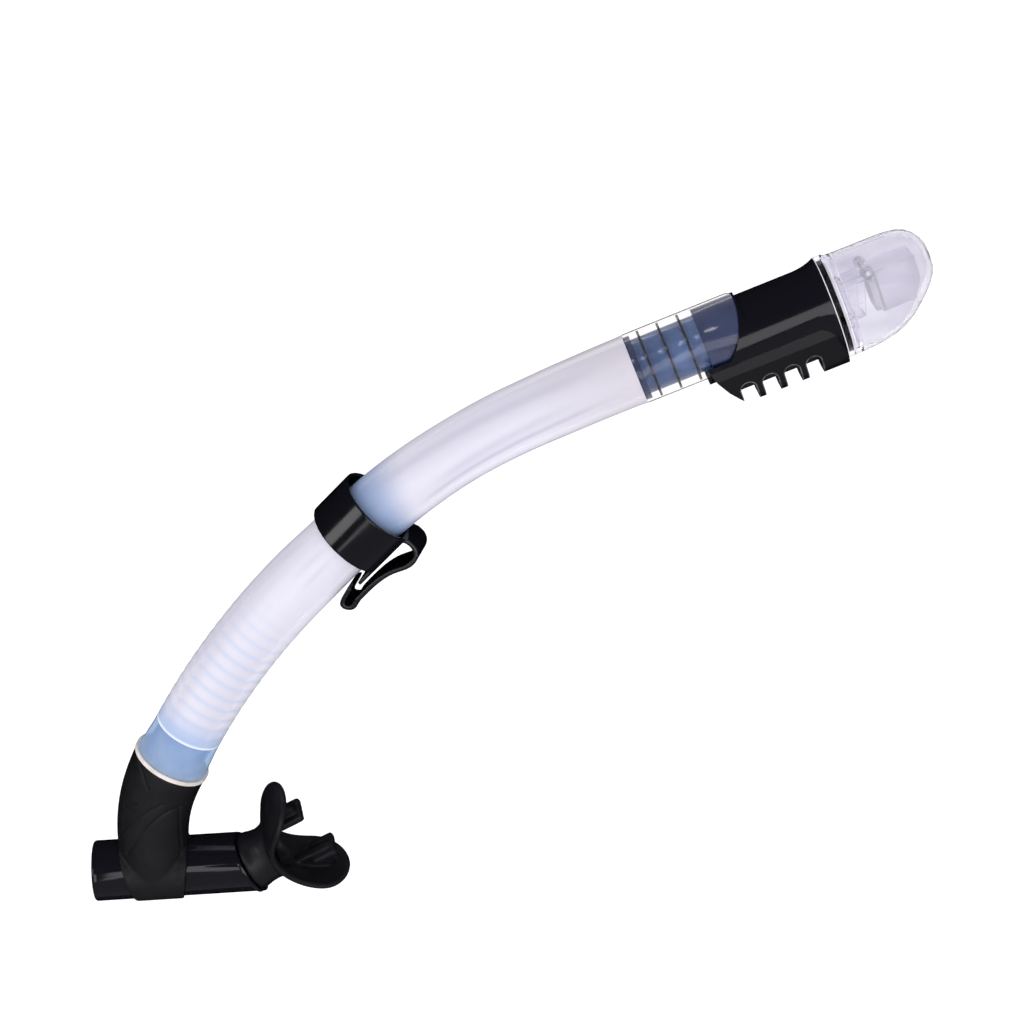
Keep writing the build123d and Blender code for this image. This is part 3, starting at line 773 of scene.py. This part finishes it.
def shield_mesh():
    """The curved plate, with the airway's hole through it; the rolled bead round its edge is built by
    bead_mesh.
    """
    columns, rows = 96, 24
    vertices, faces = [], []
    for depth in (0.0, SHIELD_THICK):
        for i in range(columns + 1):
            along = SHIELD_REACH * sin(pi / 2 * (2 * i / columns - 1))
            tall = max(0.02, shield_height(along))
            for j in range(rows + 1):
                vertices.append(shield_point(along, tall * (2 * j / rows - 1), depth))
    layer = (columns + 1) * (rows + 1)

    def open_cell(i, j):
        """Whether a cell of the grid lies in the airway's hole."""
        along = SHIELD_REACH * sin(pi / 2 * (2 * (i + 0.5) / columns - 1))
        height = shield_height(along) * (2 * (j + 0.5) / rows - 1)
        return (along / HOLE_WIDE) ** 2 + (height / HOLE_TALL) ** 2 < 1

    for i in range(columns):
        for j in range(rows):
            a, b = i * (rows + 1) + j, (i + 1) * (rows + 1) + j
            if not open_cell(i, j):
                faces.append((a, a + 1, b + 1, b))
                faces.append((layer + a, layer + b, layer + b + 1, layer + a + 1))
                continue
            walls = (((i - 1, j), a, a + 1), ((i + 1, j), b + 1, b),
                     ((i, j - 1), b, a), ((i, j + 1), a + 1, b + 1))
            for neighbour, one, two in walls:
                if not open_cell(*neighbour):
                    faces.append((one, two, layer + two, layer + one))
    edge = [(i, 0) for i in range(columns + 1)] + [(columns, j) for j in range(1, rows + 1)]
    edge += [(i, rows) for i in range(columns - 1, -1, -1)] + [(0, j) for j in range(rows - 1, 0, -1)]
    for (i, j), (m, n) in zip(edge, edge[1:] + edge[:1]):
        a, b = i * (rows + 1) + j, m * (rows + 1) + n
        faces.append((a, b, layer + b, layer + a))
    return vertices, faces


def bead_mesh(radius=1.35, around=12, per_edge=90):
    """A round bead that runs along the shield's edge."""
    outline = []
    for sign in (1, -1):
        for k in range(per_edge):
            along = sign * SHIELD_REACH * sin(pi / 2 * (2 * k / per_edge - 1))
            outline.append(Vector(shield_point(along, sign * shield_height(along), SHIELD_THICK / 2)))
    loops = []
    for k, point in enumerate(outline):
        ahead_of = (outline[(k + 1) % len(outline)] - outline[k - 1]).normalized()
        side = ahead_of.cross(Vector((1, 0, 0.01))).normalized()
        other = ahead_of.cross(side)
        turns = [2 * pi * n / around for n in range(around)]
        loops.append([point + radius * (cos(t) * side + sin(t) * other) for t in turns])
    return loops_mesh(loops, wrap=True)


def neck_mesh(around=72):
    """Round socket that is pushed on the swivel, growing wider and flatter into the shield.

    Each station is a place along the neck, a half width and a half height.
    """
    stations = ((0.3, 12.25, 12.25), (2.4, 12.25, 12.25), (4.6, 11.7, 11.6), (8.0, 12.0, 10.9),
                (11.0, 13.6, 10.6), (13.2, 15.2, 10.6))
    bores = ((12.6, 10.0, 7.4), (8.6, 7.9, 7.6), (8.5, 9.62, 9.62), (0.3, 9.62, 9.62))
    loops = []
    for x, wide, tall in stations + bores:
        turns = [2 * pi * k / around for k in range(around)]
        loops.append([(x, wide * sin(t), tall * cos(t)) for t in turns])
    return loops_mesh(loops, wrap=True)


def block_mesh(low, high, round_by):
    """A block with well rounded edges."""
    work = bmesh.new()
    bmesh.ops.create_cube(work, size=1.0)
    for vertex in work.verts:
        vertex.co = [a + (b - a) * (c + 0.5) for a, b, c in zip(low, high, vertex.co)]
    bmesh.ops.bevel(work, geom=work.edges[:], offset=round_by, segments=3, profile=0.6, affect="EDGES")
    vertices = [tuple(v.co) for v in work.verts]
    work.verts.index_update()
    faces = [tuple(v.index for v in face.verts) for face in work.faces]
    work.free()
    return vertices, faces


def build_mouthpiece(material):
    """Neck, shield, bead, wings and lugs, fused as one moulding."""
    shapes = [shield_mesh(), bead_mesh(), neck_mesh()]
    for side in (-1, 1):
        for low, high, round_by in BITE_BLOCKS:
            ends = sorted((side * low[1], side * high[1]))
            shapes.append(block_mesh((low[0], ends[0], low[2]), (high[0], ends[1], high[2]), round_by))
    vertices, faces = [], []
    for points, sides in shapes:
        base = len(vertices)
        vertices += [row(MOUTH, *point) for point in points]
        faces += [tuple(base + i for i in face) for face in sides]
    piece = mesh_object("mouthpiece_silicone", vertices, faces, None, True, (material,))
    tidy_mesh(piece, 0.000001)
    fuse(piece, 0.0005, 9)
    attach(piece, "mouthpiece")
    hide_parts("mouthpiece")
    return piece


# ---- Keel's inner wall ---------------------------------------------------------------------------
KEEL_WALL = ((31.5, -4.6, -22.6), (70.5, 4.6, -15.0))   # two opposite corners
KEEL_WALL_ROUNDING = 1.2


def build_keel_core(material):
    """Inner wall that hangs in the hollow keel, seen through the drain slots."""
    points, faces = block_mesh(*KEEL_WALL, KEEL_WALL_ROUNDING)
    core = mesh_object("keel_inner_wall", [row(TOP, *p) for p in points], faces, "tube", True, (material,))
    return core


# ---- Scene ---------------------------------------------------------------------------------------
FLOOR_BELOW = 0.35               # metres, as all lengths of the studio
FLOOR_HALF = 9


def light(name, place, target, size, power):
    """An area light that is aimed at a target."""
    data = bpy.data.lights.new(name, "AREA")
    data.energy, data.shape = power, "RECTANGLE"
    data.size, data.size_y = size
    lamp = bpy.data.objects.new(name, data)
    bpy.context.collection.objects.link(lamp)
    lamp.location = place
    lamp.rotation_mode = "QUATERNION"
    lamp.rotation_quaternion = (Vector(target) - Vector(place)).to_track_quat("-Z", "Y")
    return lamp


def studio():
    bpy.context.scene.view_settings.view_transform = "Standard"
    floor_z = CAD_BOX[0].z - FLOOR_BELOW
    corners = [(x * FLOOR_HALF, y * FLOOR_HALF, floor_z) for x, y in ((-1, -1), (1, -1), (1, 1), (-1, 1))]
    floor = mesh_object("floor", corners, [(0, 1, 2, 3)], materials=(floor_white(),))
    world = bpy.data.worlds.new("studio")
    bpy.context.scene.world = world
    world.use_nodes = True
    background = world.node_tree.nodes["Background"]
    background.inputs["Color"].default_value = (1.0, 0.99, 1.0, 1)
    background.inputs["Strength"].default_value = 1.0
    world.cycles_visibility.glossy = False
    floor.visible_glossy = False
    middle = (0.05, 0, 0.02)
    light("key", (-0.45, -0.9, 1.0), middle, (0.3, 0.2), 1.4).visible_glossy = False
    light("left", (-1.08, -0.72, 0.24), (0, 0, 0.02), (0.5, 0.5), 2.2)
    light("panel", (0.0, -1.25, -0.02), middle, (1.5, 0.62), 5.0)
    light("side", (1.3, -0.5, 0.35), middle, (0.25, 0.8), 0.8)
    light("back", (0.1, 1.2, 1.0), middle, (1.2, 0.3), 2.0).visible_glossy = False
    below = light("below", (0.05, -0.35, -0.42), (0.05, -0.1, 0), (1.2, 0.8), 0.4)
    below.visible_camera = below.visible_diffuse = below.visible_transmission = False


def dress(node, material):
    """Gives a CAD node its material."""
    piece = NODES[node]
    for slot in piece.material_slots:
        slot.material = material
    if not piece.material_slots:
        piece.data.materials.append(material)


def soften_edges(node, width=0.00035, angle=32.0):
    """Rounds the sharp edges of a CAD node as moulded plastic has them."""
    piece = NODES[node]
    weld = piece.modifiers.new("weld", "WELD")
    weld.merge_threshold = 0.000002
    bevel = piece.modifiers.new("edges", "BEVEL")
    bevel.width, bevel.segments = width, 2
    bevel.limit_method, bevel.angle_limit = "ANGLE", radians(angle)
    bevel.use_clamp_overlap = True


def main():
    milky = milky_silicone()
    black = gloss_black("gloss_black_plastic")
    boot_black = rubber("boot_rubber", (0.0045, 0.0043, 0.0065), 0.5, 0.68, 0.4)
    mouth_black = rubber("mouth_silicone", (0.0055, 0.0053, 0.0078), 0.36, 0.5, 0.38)
    clear = clear_plastic("cap_clear_plastic", (0.80, 0.785, 0.865), (0.95, 0.94, 0.985), 0.04, 0.84, 1.2)
    inner_low, inner_high = (0.90, 0.89, 0.95), (0.95, 0.94, 0.98)
    inner_clear = clear_plastic("inner_clear_plastic", inner_low, inner_high, 0.1, 0.93, 1.12)
    pale = frosted("float_frosted_plastic", (0.89, 0.88, 0.94), 0.93)
    seal = frosted("valve_silicone", (0.72, 0.72, 0.78), 0.3)
    cream = rubber("trim_cream_rubber", (0.44, 0.41, 0.39), 0.4, 0.55)

    build_tube(milky, clear_silicone("tube_over_spigot", (0.93, 0.91, 0.93), (0.96, 0.945, 0.96), 1.0, 1.02),
               clear_silicone("tube_over_stub", (0.32, 0.46, 0.70), (0.45, 0.58, 0.78), 0.55, 1.02))
    skirt = clear_plastic("cap_skirt_plastic", (0.90, 0.885, 0.95), (0.96, 0.95, 0.985), 0.04, 1.0, 1.05)
    lip = clear_plastic("cap_lip_plastic", (0.66, 0.65, 0.72), (0.84, 0.83, 0.88), 0.1, 0.25, 1.2)
    build_cap(clear, skirt, lip)
    softened("elbow_boot", "elbow_boot_rubber", 0.00045, 8, boot_black, "lower_end",
             boot_creases)
    build_mouthpiece(mouth_black)
    housing = housing_black()
    dress("valve_housing", housing)
    build_keel_core(housing)
    dress("purge_barrel", barrel_black())
    softened("keeper", "mask_clip_ring", 0.00028, 7, black, "mask_clip")
    for node in ("purge_cover", "purge_seat", "swivel_adapter"):
        dress(node, black)
    dress("cap_collar", gloss_black("collar_black_plastic", (0.004, 0.004, 0.006), 0.15))
    dress("hose_trim_ring", cream)
    dress("intake_chimney", inner_clear)
    dress("float_lid", pale)
    dress("float_shell", pale)
    for node in ("seal_pad", "cap_seal", "purge_diaphragm", "swivel_seal"):
        dress(node, seal)
    dress("hinge_pin", brushed_steel())
    for node in ("valve_housing", "purge_barrel"):
        soften_edges(node)
    studio()
    add_camera()


main()
